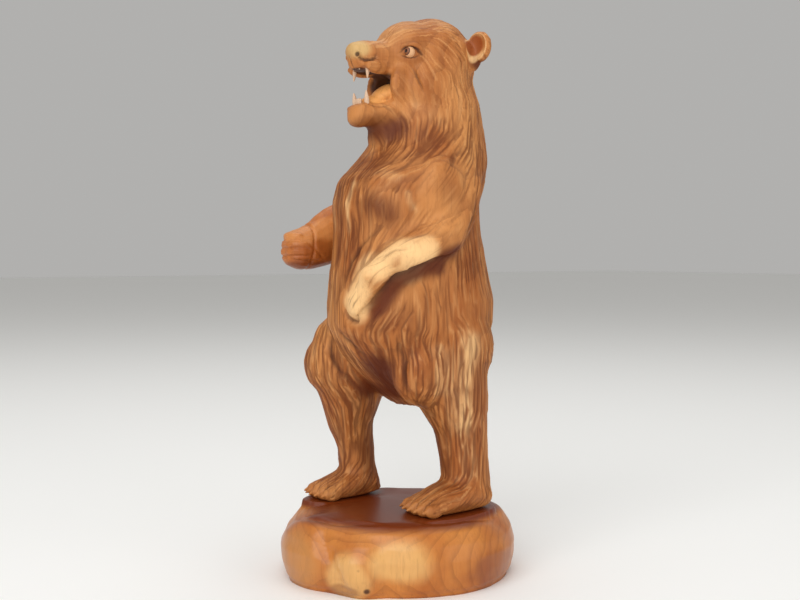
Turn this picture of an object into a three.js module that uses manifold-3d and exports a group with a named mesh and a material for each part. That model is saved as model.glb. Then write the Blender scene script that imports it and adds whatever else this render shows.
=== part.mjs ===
// A standing, roaring bear carved in wood on a boulder-shaped wooden base.
// Millimetres, +Z up. The bear faces -Y and its own left is +X.
// The origin is the bottom centre of the whole object's bounding box.
import * as THREE from "three";
import { mergeVertices } from "three/addons/utils/BufferGeometryUtils.js";
import Module from "manifold-3d";

const wasm = await Module();
wasm.setup();

// ---- driving dimensions ----
const bearHeight = 528; // sole to crown
const baseHeight = 72;
const baseHalfLong = 127;
const baseHalfShort = 106;
const baseTurn = THREE.MathUtils.degToRad(57); // the base's long axis, from +X
const gap = 0.3; // between neighbouring pieces

const screwRadius = 2.8;
const screwHeadRadius = 6;
const screwHeadHeight = 4;
const screwLength = 92;
const counterboreDepth = 18;
const plugLength = 12;
const plugRecess = 0.8;
const dowelRadius = 6;
const dowelLength = 38;

const upperCanineLength = 14;
const lowerCanineLength = 11;
const canineRadius = 3.2;
const toothRoot = 5; // length of a tooth that sits in its socket
const incisorCount = 6;
const incisorWidth = 2.4;
const incisorHeight = 4.6;
const incisorDepth = 3;
const eyeRadius = 6;
const eyeProud = 2; // how far an eye bead stands out of the face

// ---- derived ----
const unit = bearHeight / 528; // every figure size below is for a 528 mm bear
const sole = baseHeight + gap;

// A point of the figure: x and y from the middle of its hips, height above the soles.
const stance = new THREE.Vector3(-4, 7, sole); // where that middle stands on the base
const point = (x, y, height) => new THREE.Vector3(x, y, height).multiplyScalar(unit).add(stance);

// ---- colours ----
const wood = (color, roughness) => new THREE.MeshStandardMaterial({ color, roughness, metalness: 0 });
const furWood = wood(0xb0703e, 0.55);
const armWood = wood(0xb5763c, 0.4);
const baseWood = wood(0x8a4a20, 0.25);
const paleWood = wood(0xe8d6b4, 0.45);
const eyeWood = wood(0x3a1c0c, 0.2);
const plainWood = wood(0xc79a63, 0.6);
const steel = new THREE.MeshStandardMaterial({ color: 0x9a9a98, roughness: 0.35, metalness: 1 });

// ---- solids ----

// A manifold-3d solid from a closed three.js geometry.
function solidFrom(geometry) {
  const bare = geometry.clone();
  bare.deleteAttribute("normal");
  bare.deleteAttribute("uv");
  const merged = mergeVertices(bare, 1e-4);
  const vertProperties = merged.attributes.position.array;
  const triVerts = new Uint32Array(merged.index.array);
  return new wasm.Manifold(new wasm.Mesh({ numProp: 3, vertProperties, triVerts }));
}

// A named three.js mesh from a manifold-3d solid.
function meshFrom(name, solid, material) {
  const made = solid.getMesh();
  const geometry = new THREE.BufferGeometry();
  geometry.setAttribute("position", new THREE.BufferAttribute(made.vertProperties, 3));
  geometry.setIndex(new THREE.BufferAttribute(made.triVerts, 1));
  geometry.computeVertexNormals();
  const mesh = new THREE.Mesh(geometry, material.clone());
  mesh.name = name;
  return mesh;
}

const joined = (solids) => solids.reduce((sum, next) => sum.add(next));

// A closed body through oval rings. Each section holds its centre and its two half sizes:
// the first along `across`, the second at right angles to it. Rings stand square to the
// line of centres, or to `axis` where that is given.
function loft(sections, { across, axis, around = 20, rows = 1 }) {
  const centres = new THREE.CatmullRomCurve3(sections.map((s) => s.centre));
  const halves = new THREE.CatmullRomCurve3(
    sections.map((s) => new THREE.Vector3(s.half[0], s.half[1], 0)),
  );
  const geometry = new THREE.CylinderGeometry(1, 1, 1, around, rows * (sections.length - 1));
  const position = geometry.attributes.position;
  for (let i = 0; i < position.count; i++) {
    const t = THREE.MathUtils.clamp(position.getY(i) + 0.5, 0, 1);
    const half = halves.getPoint(t);
    const along = axis ? axis.clone() : centres.getTangent(t);
    const side = across.clone().addScaledVector(along, -across.dot(along)).normalize();
    const other = new THREE.Vector3().crossVectors(side, along);
    const place = centres.getPoint(t);
    place.addScaledVector(side, position.getX(i) * half.x);
    place.addScaledVector(other, position.getZ(i) * half.y);
    position.setXYZ(i, place.x, place.y, place.z);
  }
  return solidFrom(geometry);
}

// One ring of the figure.
function section(x, y, height, half, clearance = 0) {
  return { centre: point(x, y, height), half: half.map((size) => size * unit + clearance) };
}

// A ball squeezed to three half sizes and turned about the vertical.
function ball(x, y, height, halfX, halfY, halfZ, turn = 0, detail = 20) {
  const geometry = new THREE.SphereGeometry(1, detail, Math.round(detail * 0.6));
  geometry.rotateX(Math.PI / 2);
  geometry.scale(halfX * unit, halfY * unit, halfZ * unit);
  geometry.rotateZ(turn);
  const centre = point(x, y, height);
  geometry.translate(centre.x, centre.y, centre.z);
  return solidFrom(geometry);
}

// A round bar between two points, or a cone where the end radii differ.
function bar(from, to, startRadius, endRadius = startRadius, around = 20) {
  const length = from.distanceTo(to);
  const geometry = new THREE.CylinderGeometry(endRadius, startRadius, length, around);
  geometry.translate(0, length / 2, 0);
  const direction = to.clone().sub(from).normalize();
  const turned = new THREE.Quaternion().setFromUnitVectors(new THREE.Vector3(0, 1, 0), direction);
  geometry.applyQuaternion(turned);
  geometry.translate(from.x, from.y, from.z);
  return solidFrom(geometry);
}

// A block given by two opposite corners.
function block(low, high) {
  const size = high.clone().sub(low);
  const geometry = new THREE.BoxGeometry(size.x, size.y, size.z);
  const middle = low.clone().add(high).multiplyScalar(0.5);
  geometry.translate(middle.x, middle.y, middle.z);
  return solidFrom(geometry);
}

const upward = new THREE.Vector3(0, 0, 1);
const sideways = new THREE.Vector3(1, 0, 0);

// ---- torso and neck ----
function torso() {
  const rings = [
    [22, 107, 34, 28],
    [20, 122, 50, 46],
    [15, 145, 66, 66],
    [11, 168, 78, 82],
    [10, 194, 86, 93],
    [11, 220, 86, 94],
    [9, 246, 83, 90],
    [8, 272, 80, 85],
    [6, 298, 79, 81],
    [4, 324, 79, 81],
    [12, 350, 78, 82],
    [26, 372, 70, 74],
    [33, 390, 63, 66],
    [34, 410, 58, 62],
    [36, 436, 54, 55],
    [36, 458, 46, 48],
  ];
  const sections = rings.map(([y, height, halfWide, halfDeep]) => section(0, y, height, [halfWide, halfDeep]));
  return loft(sections, { across: sideways, axis: upward, around: 32 });
}

// ---- head ----
function head() {
  const snout = loft(
    [
      section(0, 12, 476, [36, 32]),
      section(0, -14, 477, [28, 23]),
      section(0, -34, 479, [20.5, 18]),
      section(0, -50, 480, [17, 16]),
      section(0, -60, 481, [13.5, 13]),
      section(0, -65, 482, [7.5, 7.5]),
    ],
    { across: sideways },
  );
  const jaw = loft(
    [
      section(0, 16, 428, [42, 25]),
      section(0, -8, 424, [32, 18]),
      section(0, -32, 420, [23, 14]),
      section(0, -50, 418, [18, 13]),
      section(0, -61, 419, [13, 10]),
      section(0, -66, 420, [6.5, 6]),
    ],
    { across: sideways },
  );
  const skull = [
    ball(0, 35, 475, 52.5, 49, 52.7, 0, 22),
    ball(0, 7, 482, 40.5, 39, 40, 0, 18),
    ball(0, -3, 450, 25, 31, 36, 0, 16),
    ball(25, 24, 446, 29, 39, 42, 0, 16),
    ball(-25, 24, 446, 29, 39, 42, 0, 16),
  ];
  const mouth = loft(
    [
      section(0, -90, 452, [46, 21]),
      section(0, -52, 450.5, [42, 17.5]),
      section(0, -36, 448, [37, 15]),
      section(0, -30, 447.5, [19, 14]),
      section(0, -6, 446, [11, 7]),
    ],
    { across: sideways },
  );
  return joined([snout, jaw, ...skull, ear(1), ear(-1)]).subtract(mouth);
}

// One ear: a thick disc with a dished front, on a short root. side is 1 for the left ear.
function ear(side) {
  const turn = side * THREE.MathUtils.degToRad(9);
  const disc = ball(side * 51, 65, 492, 16.5, 8, 17, turn, 16);
  const dish = ball(side * 52.5, 56.5, 493, 12, 7.5, 12.5, turn, 12);
  const root = ball(side * 37, 62, 483, 16, 10, 15, turn, 12);
  return disc.subtract(dish).add(root);
}

// ---- legs and feet ----
function leftLeg() {
  const leg = loft(
    [
      section(52, 49, 4, [25, 27]),
      section(52, 48, 30, [25.5, 28]),
      section(52, 45, 55, [26, 28]),
      section(52, 41, 81, [28, 30]),
      section(51, 33, 107, [35, 38]),
      section(48, 26, 135, [40, 46]),
      section(46, 22, 165, [42, 50]),
      section(44, 18, 195, [38, 47]),
      section(42, 16, 214, [26, 33]),
    ],
    { across: sideways, axis: upward },
  );
  const haunch = ball(49, 29, 172, 41, 52, 52, 0, 16);
  return joined([leg, haunch, foot(56, 72, -26, 28, 21)]);
}

function rightLeg() {
  const leg = loft(
    [
      section(-64, -13, 4, [21, 23]),
      section(-64, -19, 30, [20.5, 22]),
      section(-64, -22, 55, [21, 22]),
      section(-63, -29, 81, [25, 27]),
      section(-60, -30, 107, [33, 35]),
      section(-55, -34, 135, [38, 44]),
      section(-53, -36, 165, [38, 47]),
      section(-50, -29, 192, [35, 46]),
      section(-46, -12, 214, [26, 34]),
    ],
    { across: sideways, axis: upward },
  );
  return leg.add(foot(-65, 4, -76, 26, 19));
}

// A foot from heel to toe tips, with five toes. heelY and toeY are its ends.
function foot(x, heelY, toeY, halfWide, instep) {
  const length = heelY - toeY;
  const along = (share) => heelY - share * length;
  const bodyOfFoot = loft(
    [
      section(x, along(0), 10, [halfWide * 0.45, 9]),
      section(x, along(0.1), 13, [halfWide * 0.85, 15]),
      section(x, along(0.35), instep * 0.8, [halfWide, instep]),
      section(x, along(0.65), instep * 0.55, [halfWide, instep * 0.75]),
      section(x, along(0.86), 8, [halfWide * 0.98, 10.5]),
      section(x, along(0.94), 6, [halfWide * 0.85, 8]),
    ],
    { across: sideways, around: 18 },
  );
  const toes = [-2, -1, 0, 1, 2].map((place) =>
    ball(x + place * halfWide * 0.38, toeY + 10 + place * place, 6.5, halfWide * 0.23, 11, 8, 0, 10),
  );
  return joined([bodyOfFoot, ...toes]);
}

// ---- arms ----
function leftArm() {
  const outward = new THREE.Vector3(0.85, -0.5, 0.1);
  return loft(
    [
      section(44, 36, 366, [22, 26]),
      section(54, 32, 342, [24, 29]),
      section(68, 17, 312, [20, 26]),
      section(76, 0, 289, [19, 23]),
      section(73, -34, 273, [17, 20]),
      section(59, -55, 257, [15.5, 18.5]),
      section(43, -67, 235, [14, 16]),
      section(32, -75, 220, [10, 12]),
      section(28, -78, 213, [5, 6]),
    ],
    { across: outward },
  );
}

// The end of the upper arm and its half sizes. The forearm block is glued on `seat` inside it.
const elbow = { x: -72, y: -24, height: 299, half: [22, 36], seat: 7 };
const elbowJoint = point(elbow.x, elbow.y + elbow.seat, elbow.height);

function rightUpperArm() {
  return loft(
    [
      section(-50, 32, 362, [22, 24]),
      section(-60, 20, 347, [26, 31]),
      section(-69, 4, 327, [24, 36]),
      section(elbow.x, -10, 309, [22, 37]),
      section(elbow.x, elbow.y, elbow.height, elbow.half),
    ],
    { across: sideways },
  );
}

// The forearm and closed paw, or with a clearance the pocket that holds it.
function rightForearm(clearance = 0) {
  const start = elbow.y + elbow.seat - (gap - clearance) / unit;
  const rings = [
    [elbow.x, start, elbow.height, ...elbow.half],
    [elbow.x, -45, 292, 21, 32],
    [-71, -64, 283.5, 20, 26.5],
    [-70, -80, 278, 21.5, 24],
    [-69, -95, 276, 20, 21.5],
    [-69, -104, 275, 15, 16],
    [-69, -108, 275, 8, 9],
  ];
  const sections = rings.map(([x, y, height, halfWide, halfHigh]) =>
    section(x, y, height, [halfWide, halfHigh], clearance),
  );
  return loft(sections, { across: sideways, rows: 2 });
}

// ---- teeth and eyes ----

// One canine, or with a clearance its socket. side is 1 for the left.
function canine(side, upper, clearance = 0) {
  const way = upper ? -1 : 1;
  const length = upper ? upperCanineLength : lowerCanineLength;
  const gum = upper ? point(side * 13, -51, 468) : point(side * 12, -52, 431);
  const lean = new THREE.Vector3(side * 0.06, -0.1, way).normalize();
  const radius = canineRadius + clearance;
  const rows = [
    [-toothRoot - clearance, radius * 0.8],
    [0, radius],
    [length * 0.5, radius * 0.72],
    [length + clearance, radius * 0.2],
  ];
  const sections = rows.map(([far, half]) => ({
    centre: gum.clone().addScaledVector(lean, far),
    half: [half, half],
  }));
  return loft(sections, { across: sideways, around: 8 });
}

// A strip of incisors cut from one slip of wood: square roots in a slot, rounded tips.
function incisorStrip(upper, clearance = 0) {
  const way = upper ? -1 : 1;
  const half = (incisorCount * incisorWidth) / 2;
  const outline = new THREE.Shape();
  outline.moveTo(-half - clearance, -toothRoot - clearance);
  outline.lineTo(-half - clearance, incisorHeight - incisorWidth / 2);
  for (let i = 0; i < incisorCount; i++) {
    const middle = -half + (i + 0.5) * incisorWidth;
    const radius = incisorWidth / 2;
    outline.absarc(middle, incisorHeight - radius, radius * (clearance ? 1 : 0.92), Math.PI, 0, true);
  }
  outline.lineTo(half + clearance, incisorHeight - incisorWidth / 2);
  outline.lineTo(half + clearance, -toothRoot - clearance);
  const depth = incisorDepth + 2 * clearance;
  const geometry = new THREE.ExtrudeGeometry(outline, { depth, bevelEnabled: false, curveSegments: 3 });
  geometry.translate(0, 0, -depth / 2);
  geometry.rotateX(Math.PI / 2);
  if (upper) geometry.rotateY(Math.PI);
  const gum = upper ? point(0, -57, 468) : point(0, -56, 430);
  geometry.translate(gum.x, gum.y, gum.z);
  return solidFrom(geometry);
}

// One carved eye bead, or with a clearance its socket. It sits eyeProud out of the face.
function eye(side, clearance = 0) {
  const radius = (eyeRadius + clearance) / unit;
  const outward = new THREE.Vector3(side * 0.84, -0.52, 0.1).normalize();
  const face = new THREE.Vector3(side * 34.7, -13.2, 482.5);
  const centre = face.addScaledVector(outward, (eyeProud - eyeRadius) / unit);
  return ball(centre.x, centre.y, centre.z, radius, radius, radius, 0, 12);
}

// ---- base ----
function baseBlock() {
  const rings = [
    [0, 0.92],
    [0.08, 0.96],
    [0.24, 0.99],
    [0.5, 1],
    [0.76, 0.96],
    [0.92, 0.87],
    [1, 0.75],
  ];
  const long = new THREE.Vector3(Math.cos(baseTurn), Math.sin(baseTurn), 0);
  const sections = rings.map(([share, spread]) => ({
    centre: new THREE.Vector3(0, 0, share * baseHeight),
    half: [spread * baseHalfLong, spread * baseHalfShort],
  }));
  const block = loft(sections, { across: long, axis: upward, around: 36 });
  return block.add(burl());
}

// The swelling low on the side where the sapwood shows.
function burl() {
  const geometry = new THREE.SphereGeometry(1, 16, 10);
  geometry.rotateX(Math.PI / 2);
  geometry.scale(0.42 * baseHalfLong, 0.2 * baseHalfShort, 0.42 * baseHeight);
  geometry.translate(-0.3 * baseHalfLong, -0.82 * baseHalfShort, 0.44 * baseHeight);
  geometry.rotateZ(baseTurn);
  return solidFrom(geometry);
}

// ---- assembly ----
const part = new THREE.Group();
const pieces = [];
const keep = (name, solid, material) => pieces.push(meshFrom(name, solid, material));

const ankles = { left: point(52, 46, 0), right: point(-64, -18, 0) };
const holeRadius = screwRadius + gap;
const boreRadius = screwHeadRadius + 2 * gap;
const below = -1; // cuts start this far outside the surface
const wide = 2 * bearHeight; // wider than anything here

let base = baseBlock();
let bear = joined([torso(), head(), leftLeg(), rightLeg(), leftArm(), rightUpperArm()]);
const underSole = block(new THREE.Vector3(-wide, -wide, -sole), new THREE.Vector3(wide, wide, sole));
bear = bear.subtract(underSole);

// Screws come up through the base into the ankles; a wooden plug closes each counterbore.
for (const [side, ankle] of Object.entries(ankles)) {
  const at = (z) => new THREE.Vector3(ankle.x, ankle.y, z);
  const headBottom = counterboreDepth - screwHeadHeight;
  const tip = headBottom + screwLength;
  const shank = bar(at(counterboreDepth - 1), at(tip), screwRadius, screwRadius * 0.6);
  const screwHead = bar(at(headBottom), at(counterboreDepth - gap), screwHeadRadius);
  keep("foot_screw_" + side, shank.add(screwHead), steel);
  const plug = bar(at(plugRecess), at(plugRecess + plugLength), screwHeadRadius + gap);
  keep("screw_plug_" + side, plug, plainWood);
  base = base.subtract(bar(at(below), at(counterboreDepth), boreRadius));
  base = base.subtract(bar(at(below), at(baseHeight - below), holeRadius));
  bear = bear.subtract(bar(at(sole + below), at(tip + 1), holeRadius));
}

// The forearm is glued to the upper arm over a dowel.
const dowelFrom = elbowJoint.clone().add(new THREE.Vector3(0, dowelLength / 2, 0));
const dowelTo = elbowJoint.clone().add(new THREE.Vector3(0, -dowelLength / 2, 0));
keep("forearm_dowel", bar(dowelFrom, dowelTo, dowelRadius), plainWood);
const dowelHole = bar(
  dowelFrom.clone().add(new THREE.Vector3(0, gap, 0)),
  dowelTo.clone().add(new THREE.Vector3(0, -gap, 0)),
  dowelRadius + gap,
);
bear = bear.subtract(rightForearm(gap)).subtract(dowelHole);

for (const [side, name] of [[1, "left"], [-1, "right"]]) {
  for (const [upper, row] of [[true, "upper"], [false, "lower"]]) {
    keep(row + "_canine_" + name, canine(side, upper), paleWood);
    bear = bear.subtract(canine(side, upper, gap));
  }
  keep("eye_" + name, eye(side), eyeWood);
  bear = bear.subtract(eye(side, gap));
}
for (const [upper, row] of [[true, "upper"], [false, "lower"]]) {
  keep(row + "_incisors", incisorStrip(upper), paleWood);
  bear = bear.subtract(incisorStrip(upper, gap));
}

keep("base", base, baseWood);
keep("figure", bear, furWood);
keep("right_forearm", rightForearm().subtract(dowelHole), armWood);

part.add(...pieces);
const whole = new THREE.Box3().setFromObject(part);
const middle = whole.getCenter(new THREE.Vector3());
part.children.forEach((piece) => piece.position.set(-middle.x, -middle.y, -whole.min.z));

export default part;
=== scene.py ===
import math
import bpy
import numpy as np
from mathutils import Euler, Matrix, Vector, kdtree, noise


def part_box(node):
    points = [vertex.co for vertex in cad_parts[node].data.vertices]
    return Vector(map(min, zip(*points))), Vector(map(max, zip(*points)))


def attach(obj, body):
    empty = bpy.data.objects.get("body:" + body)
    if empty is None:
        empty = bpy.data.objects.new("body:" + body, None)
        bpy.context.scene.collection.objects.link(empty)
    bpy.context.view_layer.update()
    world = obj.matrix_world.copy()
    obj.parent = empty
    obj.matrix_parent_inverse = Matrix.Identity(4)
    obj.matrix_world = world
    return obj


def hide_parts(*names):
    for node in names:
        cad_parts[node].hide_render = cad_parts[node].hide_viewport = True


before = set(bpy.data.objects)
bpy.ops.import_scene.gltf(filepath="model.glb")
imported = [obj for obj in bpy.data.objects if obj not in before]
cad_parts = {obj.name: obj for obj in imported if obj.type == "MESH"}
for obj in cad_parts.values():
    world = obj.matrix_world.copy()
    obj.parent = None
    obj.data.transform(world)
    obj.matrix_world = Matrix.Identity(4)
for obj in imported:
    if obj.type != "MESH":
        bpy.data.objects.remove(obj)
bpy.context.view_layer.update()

mm = 0.001
home = Vector((-4 * mm, 9 * mm, 72.3 * mm))  # middle of the hips, at the soles


def at(x, y, height):  # a point of the bear in millimetres, height above the soles
    return home + Vector((x, y, height)) * mm


def selectOnly(*objects):
    bpy.ops.object.select_all(action="DESELECT")
    for each in objects:
        each.select_set(True)
    bpy.context.view_layer.objects.active = objects[0]


def joinInto(target, others):
    selectOnly(target, *others)
    bpy.ops.object.join()
    return target


def modify(piece, kind, **settings):
    selectOnly(piece)
    modifier = piece.modifiers.new(kind.lower(), kind)
    for name, value in settings.items():
        setattr(modifier, name, value)
    bpy.ops.object.modifier_apply(modifier=modifier.name)


def cadCopy(node, name):  # a merged copy of a CAD node, free to be reshaped
    piece = bpy.data.objects.new(name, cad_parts[node].data.copy())
    bpy.context.collection.objects.link(piece)
    piece.data.materials.clear()
    selectOnly(piece)
    bpy.ops.object.mode_set(mode="EDIT")
    bpy.ops.mesh.select_all(action="SELECT")
    bpy.ops.mesh.remove_doubles(threshold=0.00001)
    bpy.ops.object.mode_set(mode="OBJECT")
    return piece


def lump(place, halfSizes, turn=(0, 0, 0)):  # a rounded mass, sizes in millimetres, turn in degrees
    bpy.ops.object.select_all(action="DESELECT")
    bpy.ops.mesh.primitive_uv_sphere_add(segments=32, ring_count=20, radius=1, location=place)
    piece = bpy.context.object
    piece.scale = [size * mm for size in halfSizes]
    piece.rotation_euler = Euler([math.radians(angle) for angle in turn])
    bpy.ops.object.transform_apply(location=True, rotation=True, scale=True)
    return piece


def finishPiece(piece, material, node):  # the piece stands for that CAD node
    piece.data.materials.clear()
    piece.data.materials.append(material)
    selectOnly(piece)
    bpy.ops.object.shade_smooth()
    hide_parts(node)
    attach(piece, "root")


class Carving:  # moves a mesh's points the way a gouge would
    def __init__(self, piece):
        self.piece = piece
        self.tree = None
        self.grooveShade = np.zeros(len(piece.data.vertices))  # painted shade: how dark the cut lines are
        self.pale = self.grooveShade.copy()  # sapwood
        self.shade = self.grooveShade.copy()  # painted shade under parts and in hollows, and darker patches
        mesh = piece.data
        self.co = np.zeros(len(mesh.vertices) * 3)
        mesh.vertices.foreach_get("co", self.co)
        self.co = self.co.reshape(-1, 3)
        self.readNormals()

    def readNormals(self):
        normals = np.zeros(len(self.co) * 3, np.float32)
        self.piece.data.vertices.foreach_get("normal", normals)
        self.normal = normals.reshape(-1, 3).astype(float)

    def store(self):
        self.piece.data.vertices.foreach_set("co", self.co.ravel())
        self.piece.data.update()
        self.readNormals()
        self.tree = None

    def onSurface(self, place):
        if self.tree is None:
            self.tree = kdtree.KDTree(len(self.co))
            for i, each in enumerate(self.co):
                self.tree.insert(each, i)
            self.tree.balance()
        return self.tree.find(place)[0]

    def near(self, place, reach):
        offset = self.co - np.array(place)
        far = np.sqrt((offset**2).sum(1))
        return np.nonzero(far < reach)[0], far

    def pull(self, place, reach, amount, way=None, soft=2.0):  # a bump, or a hollow if amount is negative
        chosen, far = self.near(place, reach * mm)
        fade = (1 - (far[chosen] / (reach * mm)) ** 2) ** soft
        direction = self.normal[chosen] if way is None else np.array(Vector(way).normalized())
        self.co[chosen] += direction * (fade * amount * mm)[:, None]

    def beside(self, path, reach):  # points near a line: which, how far off, how far along
        points = np.array([list(self.onSurface(point)) for point in path])
        low, high = points.min(0) - reach * mm, points.max(0) + reach * mm
        chosen = np.nonzero(((self.co > low) & (self.co < high)).all(1))[0]
        best = np.full(len(chosen), np.inf)
        along = np.zeros(len(chosen))
        for i in range(len(points) - 1):
            a, b = points[i], points[i + 1]
            span = b - a + 1e-9
            t = np.clip(((self.co[chosen] - a) @ span) / (span @ span), 0, 1)
            far = np.linalg.norm(self.co[chosen] - a - t[:, None] * span, axis=1)
            closer = far < best
            best[closer] = far[closer]
            along[closer] = (i + t[closer]) / (len(points) - 1)
        return chosen, best, along

    def sapAndShade(self, layer, path, reach, strength, soft):  # colour along a line, for the pale sapwood and for the painted shade
        chosen, best, along = self.beside(path, reach)
        fade = (1 - (best / (reach * mm)) ** 2).clip(0) ** soft * strength
        layer[chosen] = np.maximum(layer[chosen], fade)

    def groove(self, path, width, depth, taper=True, grooveShade=0.6):  # a cut along a line of points, with painted shade in it
        chosen, best, along = self.beside(path, width * 1.5)
        fade = np.exp(-((best / (width * mm * 0.5)) ** 2))
        if taper:
            fade *= np.sin(np.pi * np.clip(along, 0.02, 0.98)) ** 0.6
        self.co[chosen] -= self.normal[chosen] * (fade * depth * mm)[:, None]
        self.grooveShade[chosen] = np.maximum(self.grooveShade[chosen], fade * grooveShade)


def curveThrough(points, steps=8):  # a smooth line through a few points
    points = [Vector(point) for point in points]
    ends = [points[0] * 2 - points[1]] + points + [points[-1] * 2 - points[-2]]
    line = []
    for a, b, c, d in zip(ends, ends[1:], ends[2:], ends[3:]):
        for i in range(steps):
            t = i / steps
            line.append(0.5 * (2 * b + (c - a) * t + (2 * a - 5 * b + 4 * c - d) * t * t
                               + (3 * b - a - 3 * c + d) * t * t * t))
    return line + [points[-1]]


def rgb(red, green, blue):  # screen colour 0-255 to a linear colour
    return tuple(((v / 255 + 0.055) / 1.055) ** 2.4 for v in (red, green, blue)) + (1,)


class Wire:  # an output socket that can be used in sums
    def __init__(self, paint, socket):
        self.paint = paint
        self.socket = socket

    def math(self, operation, *others):
        return self.paint.math(operation, self, *others)

    def __add__(self, other):
        return self.math("ADD", other)

    __radd__ = __add__

    def __mul__(self, other):
        return self.math("MULTIPLY", other)

    __rmul__ = __mul__

    def __sub__(self, other):
        return self.math("SUBTRACT", other)

    def __rsub__(self, other):
        return self.paint.math("SUBTRACT", other, self)

    def __truediv__(self, other):
        return self.math("DIVIDE", other)

    def __rtruediv__(self, other):
        return self.paint.math("DIVIDE", other, self)


class Paint:  # a material and the nodes in it
    def __init__(self, name):
        self.material = bpy.data.materials.new(name)
        self.material.use_nodes = True
        self.tree = self.material.node_tree
        self.shader = self.tree.nodes["Principled BSDF"]
        self.place = self.add("ShaderNodeTexCoord", output="Object")

    def add(self, kind, settings=None, sockets=None, output=0):
        node = self.tree.nodes.new(kind)
        for name, value in (settings or {}).items():
            setattr(node, name, value)
        for key, value in (sockets or {}).items():
            if isinstance(value, Wire):
                self.tree.links.new(value.socket, node.inputs[key])
            else:
                node.inputs[key].default_value = value
        return Wire(self, node.outputs[output])

    def math(self, operation, *values):
        return self.add("ShaderNodeMath", {"operation": operation}, dict(enumerate(values)))

    def channels(self, name):  # red, green and blue of a colour attribute
        colour = self.add("ShaderNodeAttribute", {"attribute_name": name}, output="Color")
        parts = self.add("ShaderNodeSeparateColor", {}, {0: colour})
        return [Wire(self, socket) for socket in parts.socket.node.outputs]

    def mix(self, factor, first, second):
        settings = {"data_type": "RGBA", "clamp_factor": True}
        return self.add("ShaderNodeMix", settings, {0: factor, 6: first, 7: second}, 2)

    def noise(self, vector, scale, detail=3.0, roughness=0.5, output="Fac"):
        sockets = {"Vector": vector, "Scale": scale, "Detail": detail, "Roughness": roughness}
        return self.add("ShaderNodeTexNoise", {}, sockets, output)

    def stretch(self, vector, scales, centre=(0, 0, 0)):
        moved = self.add("ShaderNodeVectorMath", {"operation": "SUBTRACT"}, {0: vector, 1: centre})
        return self.add("ShaderNodeVectorMath", {"operation": "MULTIPLY"}, {0: moved, 1: scales})

    def fit(self, value, low, high):  # 0 at low, 1 at high, smooth between
        settings = {"interpolation_type": "SMOOTHSTEP"}
        return self.add("ShaderNodeMapRange", settings, {0: value, 1: low, 2: high, 3: 0.0, 4: 1.0})

    def distance(self, vector, place, halfSizes):  # 1 on the surface of a ball squeezed to those half sizes
        scaled = self.stretch(vector, [1 / (size * mm) for size in halfSizes], place)
        return self.add("ShaderNodeVectorMath", {"operation": "LENGTH"}, {0: scaled}, "Value")

    def bump(self, height, strength, distance):
        sockets = {"Height": height, "Strength": strength, "Distance": distance}
        return self.add("ShaderNodeBump", {}, sockets)

    def set(self, **sockets):
        for name, value in sockets.items():
            key = name.replace("_", " ")
            if isinstance(value, Wire):
                self.tree.links.new(value.socket, self.shader.inputs[key])
            else:
                self.shader.inputs[key].default_value = value
        return self.material


def rings(paint, pith, spacing, wander):  # 0 to 1 across each yearly ring of an upright log
    bent = paint.noise(paint.stretch(paint.place, (9, 9, 2.2)), 1.0, 3.0, 0.5, "Color")
    shifted = paint.add("ShaderNodeVectorMath", {"operation": "MULTIPLY_ADD"},
                        {0: bent, 1: (wander * mm, wander * mm, 0), 2: paint.place})
    flat = paint.stretch(shifted, (1, 1, 0.06), (pith[0] * mm, pith[1] * mm, 0))  # the log tapers a little
    radius = paint.add("ShaderNodeVectorMath", {"operation": "LENGTH"}, {0: flat}, "Value")
    return (radius / (spacing * mm)).math("FRACT")


def grain(paint, scale=1.0):  # fine upright fibres
    return paint.noise(paint.stretch(paint.place, (420 * scale, 420 * scale, 14 * scale)), 1.0, 4.0, 0.65)


def spots(paint, places, unevenness, low=0.7, high=1.25):  # soft-edged patches: place, half sizes
    masks = []
    for place, sizes in places:
        far = paint.distance(paint.place, at(*place), sizes) + unevenness
        masks.append(1 - paint.fit(far, low, high))
    strongest = masks[0]
    for mask in masks[1:]:
        strongest = strongest.math("MAXIMUM", mask)
    return strongest


furLook = {
    "dark": rgb(82, 30, 9), "brown": rgb(160, 90, 39), "tan": rgb(198, 132, 73),
    "light": rgb(225, 165, 104), "sap": rgb(248, 202, 142), "nose": rgb(212, 178, 118),
    # throat: painted shade, for the inside of the mouth, the nostrils and the cut lines
    "throat": rgb(44, 13, 6), "shade": rgb(88, 31, 3), "tongue": rgb(226, 158, 88),
    "earInside": rgb(146, 68, 25),
    "pith": (-10, 30), "ringSpacing": 8, "ringWander": 16, "ringDepth": 0.25,
    "lightStrokes": 0.35, "darkStrokes": 0.22, "fibreDepth": 0.25, "cutDepth": 0.6, "lineDepth": 0.9,
    "paleDepth": 0.95, "shadeDepth": 0.93,
    "rough": 0.44, "fibreRough": 0.1, "cutRough": 0.2, "coat": 0.05, "coatRough": 0.35, "specular": 0.2,
}
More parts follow.
